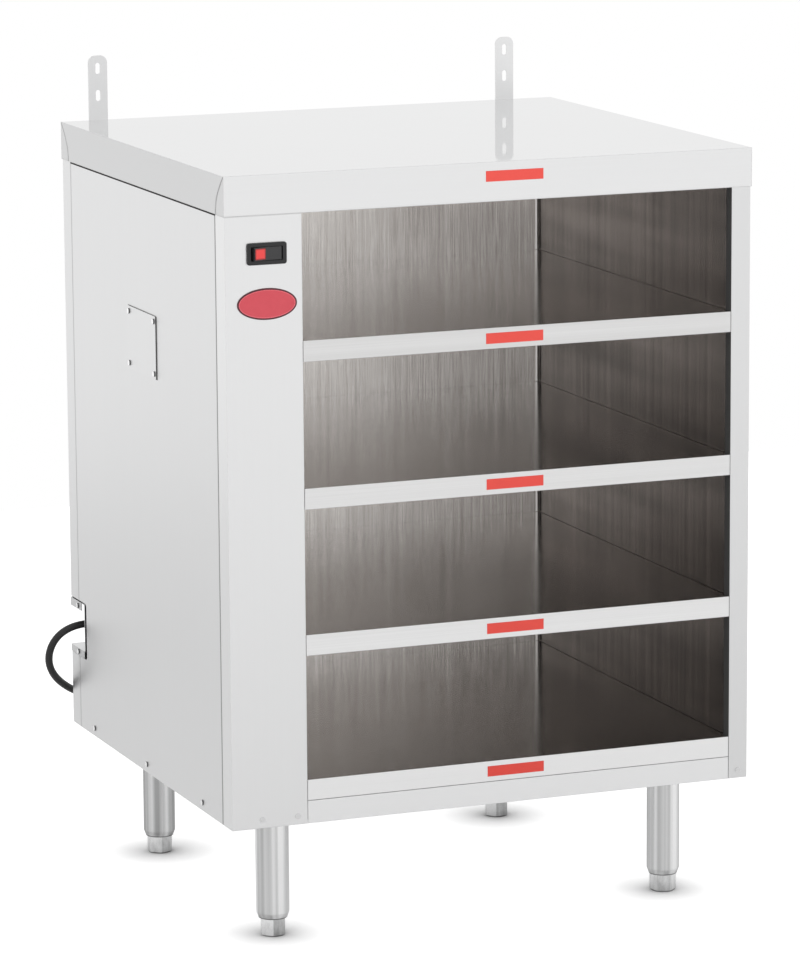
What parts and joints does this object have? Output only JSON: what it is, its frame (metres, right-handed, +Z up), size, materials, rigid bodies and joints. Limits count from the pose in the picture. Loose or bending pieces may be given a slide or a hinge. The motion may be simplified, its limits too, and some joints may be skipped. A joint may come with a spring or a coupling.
{
  "type": "hot cupboard",
  "caption": "Open-fronted stainless steel cabinet on legs with heated shelves, a rocker switch, levelling feet, wall straps and a supply cord; keeps packed food warm.",
  "frame": {"origin": "middle of the footprint on the floor, the cord left out", "axes": "+Z up, the open front faces -Y, +X to the right for someone facing the front"},
  "size_m": [0.6952, 0.8911, 0.992],
  "materials": {
    "steel_outer": "satin, upright grain",
    "steel_inner": "satin, upright grain",
    "steel_plain": "mill finish",
    "steel_foot": "polished",
    "black_plastic": "fine texture",
    "red_lens": "clear moulded",
    "brass": "plain",
    "pale_plastic": "moulded",
    "cord_rubber": "smooth jacket",
    "mineral_wool": "fibrous",
    "foil": "foil",
    "red_enamel": "enamel",
    "red_vinyl": "film"
  },
  "bodies": {
    "cabinet": {"lid_cover": "steel_outer", "control_panel": "steel_outer", "left_side_panel": "steel_outer", "right_side_panel": "steel_outer", "back_panel": "steel_outer", "base_rail": "steel_outer", "shelf_1": "steel_outer", "shelf_2": "steel_outer", "shelf_3": "steel_outer", "shelf_4": "steel_outer", "access_plate": "steel_outer", "cord_recess": "steel_outer", "strap_left": "steel_outer", "strap_right": "steel_outer", "leg_fl": "steel_outer", "leg_fr": "steel_outer", "leg_bl": "steel_outer", "leg_br": "steel_outer", "left_liner": "steel_inner", "right_liner": "steel_inner", "back_liner": "steel_inner", "ceiling_liner": "steel_inner", "cover_1": "steel_inner", "cover_2": "steel_inner", "cover_3": "steel_inner", "cover_4": "steel_inner", "base_pan": "steel_plain", "brackets": "steel_plain", "leg_plates": "steel_plain", "leg_bolts": "steel_plain", "strap_screws": "steel_plain", "panel_screws": "steel_plain", "rocker_pin": "steel_plain", "switch_housing": "black_plastic", "cord_bushing": "black_plastic", "coil_tie": "black_plastic", "plug_body": "black_plastic", "wire_loom": "cord_rubber", "supply_lead": "cord_rubber", "cord_free": "cord_rubber", "cord_coil": "cord_rubber", "thermostat": "pale_plastic", "terminal_block": "pale_plastic", "heater_1": "foil", "heater_2": "foil", "heater_3": "foil", "heater_4": "foil", "switch_terminals": "brass", "plug_blades": "brass", "insulation": "mineral_wool", "name_plate": "red_enamel", "strips": "red_vinyl"},
    "switch_rocker": {"rocker": "black_plastic", "rocker_lens": "red_lens"},
    "levelling_foot_fl": {"foot_fl": "steel_foot"},
    "levelling_foot_fr": {"foot_fr": "steel_foot"},
    "levelling_foot_bl": {"foot_bl": "steel_foot"},
    "levelling_foot_br": {"foot_br": "steel_foot"}
  },
  "joints": [
    {"name": "switch_tilt", "type": "hinge", "parent": "cabinet", "child": "switch_rocker", "pos_m": [-0.2782, -0.29227, 0.8218], "axis": [0, 0, -1], "range_deg": [0, 14]},
    {"name": "level_fl", "type": "slide", "parent": "cabinet", "child": "levelling_foot_fl", "axis": [0, 0, -1], "range_m": [0, 0.022]},
    {"name": "level_fr", "type": "slide", "parent": "cabinet", "child": "levelling_foot_fr", "axis": [0, 0, -1], "range_m": [0, 0.022]},
    {"name": "level_bl", "type": "slide", "parent": "cabinet", "child": "levelling_foot_bl", "axis": [0, 0, -1], "range_m": [0, 0.022]},
    {"name": "level_br", "type": "slide", "parent": "cabinet", "child": "levelling_foot_br", "axis": [0, 0, -1], "range_m": [0, 0.022]}
  ]
}
